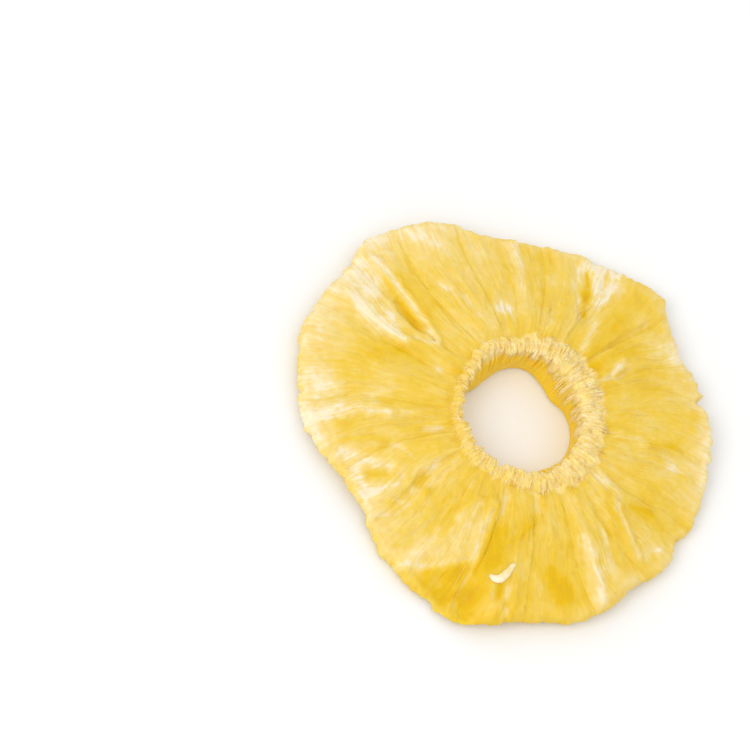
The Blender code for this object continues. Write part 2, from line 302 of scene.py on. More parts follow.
# Ragged edges: teeth as (how many round, size, seed), the rim's sharp teeth and the angle and half-width
# where they stand, and the rim's spikes as (angle, reach, half-width).
RIM_TEETH = ((70, 0.28, 20), (210, 0.20, 21))
HOLE_TEETH = ((56, 0.42, 30), (120, 0.22, 31))
SHARP_TEETH = (130, 0.26, 24)
SHARP_AT = (190, 62)
SPIKES = ((10.8, 1.3, 1.3), (39.0, 0.6, 1.6), (285.0, 0.4, 10.0))

# Pleats, as bundles; the heights over which the wall's grow; and how the crest's outer edge wanders, in rows.
CREST_PLEATS = (130, 3.0, 0.22, 40)
WALL_PLEATS = (84, 7.0, 0.28, 45)
WALL_GROWS = (0.5, 7)
CREST_EDGE = (60, 3.0, 43)

# Rounded lumps: (cell size, height, seed).
FLESH_LUMPS = ((2.2, 0.16, 35), (0.9, 0.08, 36))
CREST_LUMPS = ((2.4, 0.50, 41), (0.8, 0.14, 42))
LIP_LUMPS = ((2.4, 0.28, 50), (1.0, 0.26, 51))
UNDER_LUMPS = ((2.2, 0.22, 55), (0.8, 0.10, 56))

# -------------------- small pieces

# How dry the crest is, from 0 to 1, and how far its strands hang down the wall, by angle.
DRYNESS = ((0, 1.0), (50, 0.95), (95, 0.8), (140, 0.45), (200, 0.35), (235, 0.55), (270, 0.75), (320, 0.85))
HANG = (
    (0, 5.6), (25, 5.2), (50, 3.8), (75, 2.5), (95, 1.9), (125, 0.9), (180, 0.5), (230, 0.4), (270, 0.7),
    (315, 2.6), (340, 5.0),
)

# The wall's amber, painted shade deep in the core hole, starts below the strands, at a share of their hang:
# (share, swing, how many round, seed).
AMBER_EDGE = (0.55, 0.6, 40, 62)
AMBER_FADE = (-0.3, 1.0)

# The crest's clumps: how many, how evenly spaced, how far they fall, stand proud and reach back, and how
# far they lean, in columns.
CLUMPS = 96
CLUMP_SPACING = (-0.6, 0.6)
CLUMP_FALL = (0.1, 1.25)
CLUMP_PROUD = (0.0, 0.40)
CLUMP_BACK = (0.45, 1.25)
CLUMP_LEAN = 4.2

# The strands of a clump: how many, how widely spread, how many more are kept than the crest is dry, how
# each differs from its clump, and how it is made.
CLUMP_STRANDS = 14
CLUMP_WIDTH = 1.0
STRAND_KEPT = 0.15
STRAND_FALL = (0.6, 1.1)
STRAND_BACK = (0.25, 1.0)
STRAND_LEAN = 1.4
STRAND_SWAY = 1.2
STRAND_THICK = (0.09, 0.21)
STRAND_TIP = 0.3
STRAND_STEPS = 9
STRAND_SIDES = 5

# Loose threads on the flesh, and about where the flesh starts and how wide it is.
THREADS = 100
THREAD_LENGTH = (4.0, 11.0)
THREAD_THICK = (0.06, 0.11)
THREAD_SWAY = 1.2
THREAD_TIP = 0.2
THREAD_STEPS = 12
THREAD_SIDES = 4
FLESH_FROM = 17
FLESH_WIDTH = 24.0

# Grains of dried juice: how many, their sizes, the share on the crest, how much smaller the rest are, how
# uneven they are and how far they are sunk.
GRAINS = 260
GRAIN_SIZE = (0.10, 0.24)
CREST_SHARE = 0.45
FLESH_GRAIN = 0.5
GRAIN_SWING = 0.25
GRAIN_LIMITS = (0.6, 1.5)
GRAIN_SUNK = -0.2

# The seed husk's path, its half-width along it, how thick it is and how high it lies.
SEED_PATH = ((255, 35.0), (259.1, 36.6), (260.5, 33.3), (263.2, 31.5))
SEED_WIDTH = 0.86
SEED_THICK = 0.55
SEED_LIFT = 0.22
SEED_STEPS = 20
SEED_SIDES = 12

# -------------------- colours, linear

# The deepest gold, painted shade at the bottom of pits and slits.
PIT_SHADE = (0.720, 0.430, 0.010)
DEEP = (0.763, 0.479, 0.006)
GOLD = (0.806, 0.563, 0.079)
PALE = (0.836, 0.660, 0.276)
WHITE = (0.862, 0.762, 0.525)
# The wall's amber is painted shade deep in the core hole.
AMBER_SHADE = (0.930, 0.610, 0.005)
THREAD_LIGHT = (0.860, 0.640, 0.200)
CREST_GOLD = (0.890, 0.620, 0.110)
CREST_DARK = (0.925, 0.705, 0.255)
CREST_LIGHT = (0.955, 0.785, 0.420)
CREST_TIP = (0.955, 0.820, 0.540)
HUSK = (0.950, 0.840, 0.620)
FLOOR = (0.900, 0.900, 0.900)

# The tones of the flesh and of the crest, from the painted shade of their pits to their driest fibres.
FLESH_STOPS = ((0.0, PIT_SHADE), (0.22, DEEP), (0.50, GOLD), (0.80, PALE), (1.0, WHITE))
CREST_STOPS = ((0.45, CREST_GOLD), (0.70, CREST_DARK), (0.90, CREST_LIGHT))
STRAND_STOPS = ((0.0, CREST_GOLD), (0.35, CREST_DARK), (0.80, CREST_LIGHT), (1.0, CREST_TIP))

# How the moist flesh lets light through.
GLOW = {
    "Subsurface_Weight": 0.35,
    "Subsurface_Radius": (1.0, 0.55, 0.15),
    "Subsurface_Scale": 3 * MM,
}

# The scales of the fine textures, in cells to the metre, and how many columns of fibre go round the ring.
MOTTLE = 420.0
PORES = 850.0
GRIT = 1100.0
FIBRE_COLUMNS = 420
FIBRE_LENGTH = 5.0

# -------------------- camera and light

# The camera's place round the ring, its roll, and how the ring sits in its picture.
CAMERA_AZIMUTH = 225
CAMERA_ELEVATION = 60
CAMERA_ROLL = 45
CAMERA_DISTANCE = 1500
FIELD_WIDTH = 146.5
SENSOR = 36
AIM_RIGHT = -29.24
AIM_UP = 7.0
AIM_HEIGHT = 9.3

WORLD_LIGHT = 0.95
KEY_FROM = (-0.65, -0.20, 0.73)
KEY_DISTANCE = 1.5
KEY_SIZE = 0.7
KEY_POWER = 6.5
FLOOR_SIZE = 6.0


def place(polar):
    """The (x, y) of an (angle, radius) place."""
    angle, radius = np.radians(polar[0]), polar[1]
    return np.stack([radius * np.cos(angle), radius * np.sin(angle)], axis=-1)


def closed_curve(points, angle):
    """The smooth closed curve through (angle, value) points, read at each angle from 0 to 360."""
    at, value = np.array(points, float).T
    at = np.concatenate([at[-2:] - 360, at, at[:2] + 360])
    value = np.concatenate([value[-2:], value, value[:2]])
    slope = np.gradient(value, at)
    k = np.searchsorted(at, angle, side="right") - 1
    span = at[k + 1] - at[k]
    t = (angle - at[k]) / span
    near = value[k] * (1 + 2 * t) * (1 - t) ** 2 + slope[k] * span * t * (1 - t) ** 2
    far = value[k + 1] * t**2 * (3 - 2 * t) - slope[k + 1] * span * t**2 * (1 - t)
    return near + far


def smooth_step(x, low, high):
    t = np.clip((x - low) / (high - low), 0, 1)
    return t * t * (3 - 2 * t)


def turn_between(angle, middle):
    """The signed turn from middle to angle, from -180 to 180."""
    return (angle - middle + 180) % 360 - 180


def noise(point, seed):
    """Smooth noise, about -1 to 1, at each (x, y, z) point; its cells are 1 wide."""
    rng = np.random.default_rng(seed)
    shuffle = rng.permutation(256)
    slopes = rng.normal(size=(256, 3))
    slopes /= np.linalg.norm(slopes, axis=1)[:, None]
    cell = np.floor(point).astype(int)
    part = point - cell
    fade = part**3 * (part * (part * 6 - 15) + 10)
    total = np.zeros(point.shape[:-1])
    for corner in itertools.product((0, 1), repeat=3):
        key = np.zeros(point.shape[:-1], int)
        for axis in range(3):
            key = shuffle[(key + cell[..., axis] + corner[axis]) % 256]
        weight = np.prod(np.where(corner, fade, 1 - fade), axis=-1)
        total += weight * ((part - corner) * slopes[key]).sum(-1)
    return 1.7 * total


def round_noise(angle, run, count, length, seed):
    """Noise on a band that closes on itself: count cells round, and length along the run."""
    turn, across = np.radians(angle), count / (2 * np.pi)
    run = np.broadcast_to(run, np.broadcast(angle, run).shape)
    turn = np.broadcast_to(turn, run.shape)
    return noise(np.stack([across * np.cos(turn), across * np.sin(turn), run / length], axis=-1), seed)


def bundle_noise(angle, run, bundle):
    """Noise for a bundle: (how many round, length, size, seed). The size isn't applied yet."""
    count, length, _, seed = bundle
    return round_noise(angle, run, count, length, seed)


def edge_noise(angle, count, seed):
    """Noise along an edge that closes on itself, with count cells round."""
    return round_noise(angle, 0.5, count, 1, seed)


def crimp(angle, phase):
    few, many = (np.sin(np.radians(count * angle) + phase * count) for count in CRIMPS)
    return 0.5 * (few + many)


def plain_rim(angle):
    """The solid's outline."""
    radius = closed_curve(RIM, angle)
    for middle, depth, half_width in NOTCHES:
        radius = radius - depth * np.exp(-((turn_between(angle, middle) / half_width) ** 2))
    return radius


def rim_radius(angle):
    """The outline with its teeth and spikes."""
    radius = plain_rim(angle)
    for count, size, seed in RIM_TEETH:
        radius = radius + size * edge_noise(angle, count, seed)
    count, size, seed = SHARP_TEETH
    middle, half_width = SHARP_AT
    near = np.exp(-((turn_between(angle, middle) / half_width) ** 2))
    radius = radius + size * near * folded(edge_noise(angle, count, seed))
    for middle, reach, half_width in SPIKES:
        radius = radius + reach * np.clip(1 - np.abs(turn_between(angle, middle)) / half_width, 0, None)
    return radius


def hole_radius(angle):
    radius = closed_curve(HOLE, angle) + CRIMP_IN * crimp(angle, 0.4)
    for count, size, seed in HOLE_TEETH:
        radius = radius + size * edge_noise(angle, count, seed)
    return radius


def flesh_start(angle):
    """The radius where the crest meets the flesh."""
    return closed_curve(HOLE, angle) + CRIMP_IN * crimp(angle, 0.4) + closed_curve(CREST_WIDTH, angle)


def lip_start(angle):
    """The radius where the lip starts to turn down."""
    return plain_rim(angle) - LIP_WIDTH - LIP_SWING * np.sin(np.radians(3 * angle))


def path_distance(x, y, path):
    """How far each point is from a path of polar places, as a share of the path's half-width there."""
    nearest = np.full(x.shape, np.inf)
    for first, second in zip(path, path[1:]):
        start, run = place(first), place(second) - place(first)
        t = np.clip(((x - start[0]) * run[0] + (y - start[1]) * run[1]) / (run @ run), 0, 1)
        gap = np.hypot(x - start[0] - t * run[0], y - start[1] - t * run[1])
        nearest = np.minimum(nearest, gap / (first[2] + (second[2] - first[2]) * t))
    return nearest


def relief(x, y, marks):
    height = np.zeros(x.shape)
    for path, half_width, peak in marks:
        wide = [(*polar, half_width) for polar in path]
        height += peak * np.exp(-(path_distance(x, y, wide) ** 2))
    return height


def swell(angle, radius):
    """How far each fruitlet rises between its two creases."""
    bent = (angle + WANDER * np.sin(radius / WANDER_LENGTH + np.radians(3 * angle))) % 360
    at = np.array((CREASES[-1] - 360,) + CREASES + (CREASES[0] + 360,), float)
    k = np.searchsorted(at, bent, side="right") - 1
    t = (bent - at[k]) / (at[k + 1] - at[k])
    size = 0.8 + SWELL_SWING * np.sin(2.4 * (k % len(CREASES)))
    low, high, roundness = SOFT_SWELL
    return SWELL * size * (low + (high - low) * (4 * t * (1 - t)) ** roundness)


def pared(x, y, height):
    """The height, cut down outside the pared corner's line."""
    start, end = place(PARED_FROM), place(PARED_TO)
    length = np.linalg.norm(end - start)
    along = (end - start) / length
    outside = (x - start[0]) * along[1] - (y - start[1]) * along[0]
    run = (x - start[0]) * along[0] + (y - start[1]) * along[1]
    kept = smooth_step(run, length + PARED_END[0], length + PARED_END[1])
    return height - PARED_SLOPE * np.clip(outside, 0, PARED_WIDTH) * (1 - kept)


def curl(angle):
    turn = np.radians(angle)
    return RIM_CURL * (1 + 0.45 * np.sin(4 * turn + 1) + 0.4 * np.sin(7 * turn + 2.2))


def top_height(angle, radius):
    """The upper surface of the flesh, from the crest out to where the lip turns down."""
    x, y = np.moveaxis(place((angle, radius)), -1, 0)
    inner, rim = flesh_start(angle), plain_rim(angle)
    share = np.clip((radius - inner) / (rim - inner), 0, 1)
    edge = closed_curve(RIM_HEIGHT, angle) + curl(angle) - RIM_CURL
    height = CORE_HEIGHT + (edge - CORE_HEIGHT) * share**FALL
    shape = swell(angle, radius) - 0.5 * SWELL + relief(x, y, FOLDS) - HOLLOW_SHARE * relief(x, y, HOLLOWS)
    return pared(x, y, height + smooth_step(radius, inner, inner + CREST_FADE) * shape)


def under_height(angle, radius):
    turn = np.radians(angle)
    wave = np.sin(5 * turn + 0.23 * radius) + np.sin(3 * turn - 0.17 * radius + 2)
    lift = UNDER_WAVE * np.clip(0.5 * wave - 0.25, 0, None)
    rim = plain_rim(angle)
    return lift + curl(angle) * smooth_step(radius, CURL_FROM * rim, rim)


def wall_rows(angle):
    share = np.arange(WALL_ROWS)[:, None] / WALL_ROWS
    low, high = closed_curve(THROAT, angle), hole_radius(angle)
    radius = low + (high - low) * share**WALL_FLARE
    top = CORE_HEIGHT + 0.5 * CREST_HEIGHT
    return radius, np.broadcast_to(WALL_FOOT + (top - WALL_FOOT) * share, radius.shape)


def crest_rows(angle):
    share = np.arange(CREST_ROWS)[:, None] / CREST_ROWS
    inner, outer = hole_radius(angle), flesh_start(angle)
    start, end = CREST_ARC
    proud = CREST_HEIGHT * np.sin(np.pi * (start + (end - start) * share))
    return inner + share * (outer - inner), CORE_HEIGHT + proud + CRIMP_UP * crimp(angle, 1.3) * (1 - share)


def flesh_rows(angle):
    share = np.arange(FLESH_ROWS)[:, None] / FLESH_ROWS
    inner = flesh_start(angle)
    radius = inner + share * (lip_start(angle) - inner)
    return radius, top_height(angle, radius)


def lip_rows(angle):
    start, rim = lip_start(angle), rim_radius(angle)
    turn = np.pi * np.arange(LIP_ROWS + 1)[:, None] / (LIP_ROWS + 1)
    top, bottom = top_height(angle, start), under_height(angle, start)
    middle = bottom + LIP_MIDDLE * (top - bottom)
    reach = np.where(turn < np.pi / 2, top - middle, middle - bottom)
    return start + (rim - start) * np.sin(turn), middle + reach * np.cos(turn)


def under_rows(angle):
    share = np.arange(UNDER_ROWS)[:, None] / (UNDER_ROWS - 1)
    inner, outer = closed_curve(THROAT, angle) + WALL_FOOT, lip_start(angle)
    radius = outer + share * (inner - outer)
    return radius, under_height(angle, radius)


STRETCHES = (wall_rows, crest_rows, flesh_rows, lip_rows, under_rows)
FIRST_CREST = WALL_ROWS
FIRST_FLESH = FIRST_CREST + CREST_ROWS
FIRST_LIP = FIRST_FLESH + FLESH_ROWS
FIRST_UNDER = FIRST_LIP + LIP_ROWS + 1


def core_middle():
    """Where the core hole's middle lies: the frame's origin is under the middle of the outline's box."""
    angle = np.arange(SOLID_COLUMNS) * 360 / SOLID_COLUMNS
    outline = place((angle, plain_rim(angle)))
    return -0.5 * (outline.min(axis=0) + outline.max(axis=0))


def bend(angle, radius):
    """The angle that a fibre would have if it ran straight out."""
    bent = angle + WANDER * np.sin(radius / WANDER_LENGTH + np.radians(3 * angle))
    for bundle in BENDS:
        bent = bent + bundle[2] * bundle_noise(angle, radius, bundle)
    return bent


def folded(value):
    """Turns noise into sharp ridges: 1 where it crosses 0, and -1 at its far ends."""
    return 1 - 2 * np.clip(np.abs(value) * FOLD_SHARPNESS, 0, 1)


def fibre_fields(angle, radius):
    """The strips, fibres and hairs of the flesh, each from about -1 to 1, and how much of them shows."""
    bent = bend(angle, radius)
    strips, fibres, hairs = (bundle_noise(bent, radius, bundle) for bundle in (STRIPS, FIBRES, HAIRS))
    calm = smooth_step(bundle_noise(angle, radius, CALM), *CALM_LIMITS)
    return {"strips": -folded(strips), "fibres": folded(fibres), "hairs": hairs, "calm": calm}


def mark_fields(angle, radius):
    """The height and the paleness that the marks add, with their edges torn along the fibres."""
    x, y = np.moveaxis(place((angle, radius)), -1, 0)
    torn = 1.0
    for bundle in RAGGED_MARK:
        torn = torn + bundle[2] * bundle_noise(bend(angle, radius), radius, bundle)
    height, pale = np.zeros(radius.shape), np.zeros(radius.shape)
    for path, peak, tone in MARKS:
        reach = path_distance(x, y, path) / np.clip(torn, *TORN_LIMITS)
        height += peak * np.exp(-(reach**2))
        pale += tone * np.exp(-(reach**MARK_EDGE))
    return {"mark_height": height, "mark_pale": pale}


def around(values, columns, rows):
    """The grid's values, each blurred over the columns and rows round it."""
    for axis, reach in ((1, columns), (0, rows)):
        shifts = np.arange(-2 * reach, 2 * reach + 1)
        weights = np.exp(-((shifts / reach) ** 2))
        values = sum(w * np.roll(values, k, axis=axis) for w, k in zip(weights / weights.sum(), shifts))
    return values


def lumps(point, sizes):
    """Rounded lumps, summed over (cell size, height, seed)."""
    return sum(height * noise(point / cell, seed) for cell, height, seed in sizes)


def normals_of(points):
    """The outward direction at each point of a grid that closes on itself both ways."""
    along = np.roll(points, -1, axis=0) - np.roll(points, 1, axis=0)
    round_it = np.roll(points, -1, axis=1) - np.roll(points, 1, axis=1)
    out = np.cross(along, round_it)
    return -out / np.linalg.norm(out, axis=-1)[..., None]


def past(row, first, fade):
    """Rises from 0 to 1 over the rows round a stretch's first row that fade gives."""
    return smooth_step(row, first + fade[0], first + fade[1])


def zone_fields(angle):
    """How far each point belongs to each stretch of the cross-section, from 0 to 1."""
    rows = len(angle)
    row = np.arange(rows)[:, None] + np.zeros(angle.shape)
    count, swing, seed = CREST_EDGE
    edge = FIRST_FLESH + swing * edge_noise(angle, count, seed)
    back = past(row, rows, INTO_UNDER)
    under = past(row, FIRST_UNDER, INTO_UNDER) * (1 - back)
    lip = past(row, FIRST_LIP, INTO_LIP) * (1 - past(row, FIRST_UNDER, OFF_LIP))
    return {
        "wall": np.maximum(1 - past(row, FIRST_CREST, OFF_WALL), back),
        "crest": past(row, FIRST_CREST, INTO_CREST) * (1 - past(row, edge, OFF_CREST)),
        "flesh": past(row, FIRST_FLESH, INTO_FLESH) * (1 - under) * (1 - LIP_CALM * lip),
        "lip": lip,
        "under": under,
    }


def fine_relief(points, angle, radius, at):
    """How far each point stands out from the solid's form."""
    height = points[..., 2]
    fine = FIBRES[2] * at["fibres"] + HAIRS[2] * at["hairs"]
    grown = STRIPS[2] * at["strips"] + at["calm"] * fine
    detail = at["flesh"] * (grown + at["mark_height"] + lumps(points, FLESH_LUMPS))
    pleats = folded(bundle_noise(angle, 0.5 * radius, CREST_PLEATS))
    detail += at["crest"] * (CREST_PLEATS[2] * pleats + lumps(points, CREST_LUMPS))
    pleats = folded(bundle_noise(angle, height, WALL_PLEATS))
    detail += at["wall"] * WALL_PLEATS[2] * pleats * smooth_step(height, *WALL_GROWS)
    detail += at["lip"] * lumps(points, LIP_LUMPS)
    return detail + at["under"] * lumps(points, UNDER_LUMPS)


def rim_paleness(angle, radius):
    """How much paler the flesh is for lying near the rim."""
    wander = RIM_WANDER[2] * bundle_noise(angle, radius, RIM_WANDER)
    return closed_curve(RIM_TONE, angle) * smooth_step(radius / plain_rim(angle) + wander, *RIM_FROM)


def flesh_tone(points, angle, radius, at):
    """How pale the flesh is, with its patches and fibres, and with painted shade: deeper gold in the hollows
    of its folds, paler on their ridges.
    """
    columns, rows, depth, share = PAINTED_FOLD_SHADE
    proud = points[..., 2] - around(points[..., 2], columns, rows)
    tone = BASE_TONE + closed_curve(FIELD_TONE, angle) + at["rim"]
    tone += LONG_PATCHES[2] * bundle_noise(bend(angle, radius), radius, LONG_PATCHES)
    tone += ROUND_PATCHES[2] * bundle_noise(angle, radius, ROUND_PATCHES)
    tone += STRIP_TONE * at["strips"] + FIBRE_TONE * at["calm"] * at["fibres"]
    # painted shade: deeper gold in the folds' hollows, paler on their ridges
    return tone + share * at["flesh"] * np.clip(proud / depth, -1, 1)


def mark_tone(points, at):
    """How much paler or deeper the marks are, and the rim's dry crumbs."""
    cell, paleness, seed = RIM_CRUMB
    crumbs = smooth_step(noise(points / cell, seed), *CRUMB_LIMITS) * smooth_step(at["rim"], *CRUMB_RIM)
    return (at["mark_pale"] + paleness * crumbs) * (1 - at["wall"]) * (1 - at["under"])


def wall_shade_share(points, angle, at):
    """How far the wall of the core hole is painted amber as shade, below the strands that hang over it."""
    share, swing, count, seed = AMBER_EDGE
    hang = closed_curve(HANG, angle) * (share + swing * edge_noise(angle, count, seed))
    low, high = AMBER_FADE
    return at["wall"] * smooth_step(CORE_HEIGHT - points[..., 2], hang + low, hang + high)


def fibre_place(points, angle, radius):
    """Where each point lies among the fibres, for the noise of the flesh's own texture."""
    turn, across = np.radians(bend(angle, radius)), FIBRE_COLUMNS / (2 * np.pi)
    run = (radius + points[..., 2]) / FIBRE_LENGTH
    return np.stack([across * np.cos(turn), across * np.sin(turn), run], axis=-1)


def make_grid():
    """The ring's grid of points, its outward directions and the fields of its looks, in millimetres."""
    angle = np.arange(COLUMNS) * 360 / COLUMNS
    stretches = [rows(angle) for rows in STRETCHES]
    radius, height = (np.concatenate(part) for part in zip(*stretches))
    angle = np.broadcast_to(angle, radius.shape)
    x, y = np.moveaxis(place((angle, radius)), -1, 0)
    points = np.stack([x, y, height], axis=-1)

    at = zone_fields(angle) | fibre_fields(angle, radius) | mark_fields(angle, radius)
    at["rim"] = rim_paleness(angle, radius)
    points = points + normals_of(points) * fine_relief(points, angle, radius, at)[..., None]
    points[..., 2] = np.clip(points[..., 2], 0, None)
    points[..., :2] += core_middle()
    fields = {
        "tone": flesh_tone(points, angle, radius, at),
        "mark": mark_tone(points, at),
        "crest": at["crest"] * closed_curve(DRYNESS, angle),
        # painted shade: amber deep down the wall of the core hole
        "amber": wall_shade_share(points, angle, at),
        "fibre": fibre_place(points, angle, radius),
    }
    return {"points": points, "out": normals_of(points), "radius": radius, "fields": fields}


def band_faces(rows, columns):
    """Four-sided faces of a grid that closes on itself both ways, facing outwards."""
    row, column = np.meshgrid(np.arange(rows), np.arange(columns), indexing="ij")
    below, above = row * columns, (row + 1) % rows * columns
    after = (column + 1) % columns
    return np.stack([below + column, above + column, above + after, below + after], axis=-1).reshape(-1, 4)


def new_piece(name, points, faces, material, fields=None):
    """A shaded piece from points in millimetres, with a number or a vector for each point in each field."""
    mesh = bpy.data.meshes.new(name)
    mesh.from_pydata((points.reshape(-1, 3) * MM).tolist(), [], [list(map(int, face)) for face in faces])
    for field, values in (fields or {}).items():
        is_vector = values.size == 3 * len(mesh.vertices)
        entry = mesh.attributes.new(field, "FLOAT_VECTOR" if is_vector else "FLOAT", "POINT")
        entry.data.foreach_set("vector" if is_vector else "value", values.astype(np.float32).ravel())
    mesh.materials.append(material)
    mesh.shade_smooth()
    piece = bpy.data.objects.new(name, mesh)
    bpy.context.scene.collection.objects.link(piece)
    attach(piece, "root")
    return piece


class Shader:
    """A material's node tree, with short calls to add its nodes."""

    def __init__(self, name):
        self.material = bpy.data.materials.new(name)
        self.material.use_nodes = True
        self.tree = self.material.node_tree
        self.surface = self.tree.nodes["Principled BSDF"]

    def add(self, kind, inputs=None, **settings):
        """Adds a node; an input is a value, or another node's output to join."""
        node = self.tree.nodes.new(kind)
        for key, value in settings.items():
            setattr(node, key, value)
        for key, value in (inputs or {}).items():
            self.set(node.inputs[key], value)
        return node

    def set(self, socket, value):
        if isinstance(value, bpy.types.NodeSocket):
            self.tree.links.new(value, socket)
        else:
            socket.default_value = value

    def field(self, name):
        return self.add("ShaderNodeAttribute", attribute_name=name).outputs["Fac"]

    def vector(self, name):
        return self.add("ShaderNodeAttribute", attribute_name=name).outputs["Vector"]

    def object_place(self):
        return self.add("ShaderNodeTexCoord").outputs["Object"]

    def noise(self, where, scale, detail=2.0, rough=0.5):
        inputs = {"Vector": where, "Scale": scale, "Detail": detail, "Roughness": rough}
        return self.add("ShaderNodeTexNoise", inputs).outputs["Fac"]

    def math(self, operation, *values):
        return self.add("ShaderNodeMath", dict(enumerate(values)), operation=operation).outputs[0]

    def spread(self, value, low, high, start=0.0, end=1.0):
        """Maps low..high to start..end, held at both ends."""
        inputs = {"Value": value, "From Min": low, "From Max": high, "To Min": start, "To Max": end}
        return self.add("ShaderNodeMapRange", inputs).outputs[0]

    def ramp(self, value, stops):
        node = self.add("ShaderNodeValToRGB", {"Fac": value})
        elements = node.color_ramp.elements
        while len(elements) < len(stops):
            elements.new(0.5)
        for element, (at, colour) in zip(elements, stops):
            element.position = at
            element.color = (*colour, 1)
        return node.outputs["Color"]

    def mix(self, share, first, second):
        """Mixes two colours."""
        node = self.add("ShaderNodeMix", data_type="RGBA")
        self.set(node.inputs[0], share)
        for socket, value in ((node.inputs[6], first), (node.inputs[7], second)):
            self.set(socket, (*value, 1) if isinstance(value, tuple) else value)
        return node.outputs[2]

    def bump(self, height, strength, distance):
        inputs = {"Height": height, "Strength": strength, "Distance": distance * MM}
        return self.add("ShaderNodeBump", inputs).outputs["Normal"]

    def finish(self, **values):
        """Sets the surface's own sockets, named with _ for a space."""
        for key, value in values.items():
            self.set(self.surface.inputs[key.replace("_", " ")], value)
        return self.material


def flesh_material():
    """Gold flesh with paler dry fibres and painted shade in its hollows, a beige crest and a wall round the
    core hole painted amber as shade.
    """
    make = Shader("pineapple_flesh_look")
    fibre, here = make.vector("fibre"), make.object_place()
    threads = make.noise(fibre, 1.0, 3.0, 0.6)
    fine = make.noise(fibre, 2.6, 2.0, 0.5)
    pores = make.noise(here, PORES, 3.0, 0.6)
    mottle = make.noise(here, MOTTLE, 5.0, 0.68)
    torn = make.spread(make.math("ADD", mottle, threads), 0.75, 1.20, 0.45, 1.30)
    tone = make.math("MULTIPLY_ADD", make.field("mark"), torn, make.field("tone"))
    for texture, share in ((threads, 0.34), (fine, 0.20), (pores, 0.12), (mottle, 0.26)):
        tone = make.math("MULTIPLY_ADD", texture, share, tone)
    flesh = make.ramp(make.math("SUBTRACT", tone, 0.46), FLESH_STOPS)
    grains = make.noise(here, GRIT, 3.0, 0.65)
    crest = make.ramp(make.math("ADD", grains, make.math("MULTIPLY", mottle, 0.4)), CREST_STOPS)
    body = make.mix(make.field("crest"), flesh, crest)
    # painted shade: the wall turns amber deep in the core hole
    amber = make.ramp(threads, ((0.3, AMBER_SHADE), (0.8, GOLD)))
    body = make.mix(make.field("amber"), body, amber)
    rough = make.spread(make.math("ADD", threads, pores), 0.7, 1.3, 0.34, 0.58)
    height = make.math("MULTIPLY_ADD", mottle, 1.2, make.math("ADD", threads, fine))
    normal = make.bump(height, 0.25, 0.10)
    return make.finish(Base_Color=body, Roughness=rough, Normal=normal, Specular_IOR_Level=0.15, **GLOW)


def strand_material():
    """Dry strands, each with its own shade: gold to pale, and paler towards their hanging ends."""
    make = Shader("crest_fibre")
    mottle = make.noise(make.object_place(), 900.0, 3.0, 0.6)
    shade = make.math("MULTIPLY_ADD", mottle, 0.5, make.math("SUBTRACT", make.field("shade"), 0.25))
    colour, normal = make.ramp(shade, STRAND_STOPS), make.bump(mottle, 0.4, 0.05)
    return make.finish(Base_Color=colour, Roughness=0.55, Normal=normal, Specular_IOR_Level=0.12)


def dry_material(name, dark, light, scale):
    """Dry fibre, husk or grain: two shades mottled together."""
    make = Shader(name)
    mottle = make.noise(make.object_place(), scale, 3.0, 0.6)
    colour = make.ramp(mottle, ((0.35, dark), (0.62, light)))
    rough, normal = make.spread(mottle, 0.3, 0.7, 0.45, 0.65), make.bump(mottle, 0.4, 0.05)
    return make.finish(Base_Color=colour, Roughness=rough, Normal=normal, Specular_IOR_Level=0.12)


def make_ring(grid):
    faces = band_faces(*grid["radius"].shape)
    ring = new_piece("ring", grid["points"], faces, flesh_material(), grid["fields"])
    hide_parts(NODE)


def on_grid(grid, row, column, lift):
    """Points that float lift above the ring, at fractional rows and columns."""
    rows, columns = grid["radius"].shape
    low, left = np.floor(row).astype(int), np.floor(column).astype(int)
    up, across = (row - low)[..., None], (column - left)[..., None]
    found = []
    for values in (grid["points"], grid["out"]):
        corner = [[values[(low + i) % rows, (left + j) % columns] for j in (0, 1)] for i in (0, 1)]
        near, far = (side[0] * (1 - across) + side[1] * across for side in corner)
        found.append(near * (1 - up) + far * up)
    return found[0] + found[1] * lift[..., None], found[1]


def tubes(centres, ups, thick, sides):
    """Joined tubes: one for each row of centres, with its half-thickness at each centre."""
    count, length = centres.shape[:2]
    along = np.gradient(centres, axis=1)
    along /= np.linalg.norm(along, axis=-1)[..., None]
    side = np.cross(along, ups)
    side /= np.linalg.norm(side, axis=-1)[..., None]
    over = np.cross(side, along)
    turn = 2 * np.pi * np.arange(sides) / sides
    ring = np.cos(turn)[:, None] * side[:, :, None] + np.sin(turn)[:, None] * over[:, :, None]
    points = centres[:, :, None] + thick[:, :, None, None] * ring
    index = np.arange(count * length * sides).reshape(count, length, sides)
    after = np.roll(index, -1, axis=2)
    walls = np.stack([index[:, :-1], after[:, :-1], after[:, 1:], index[:, 1:]], axis=-1).reshape(-1, 4)
    caps = np.concatenate([index[:, 0, ::-1], index[:, -1]])
    return points, list(walls) + list(caps)


def taper(steps, tip):
    """A half-thickness profile from 0 to 1 along a strand, thick in the middle."""
    return tip + (1 - tip) * np.sin(np.pi * np.linspace(0, 1, steps)) ** 0.6


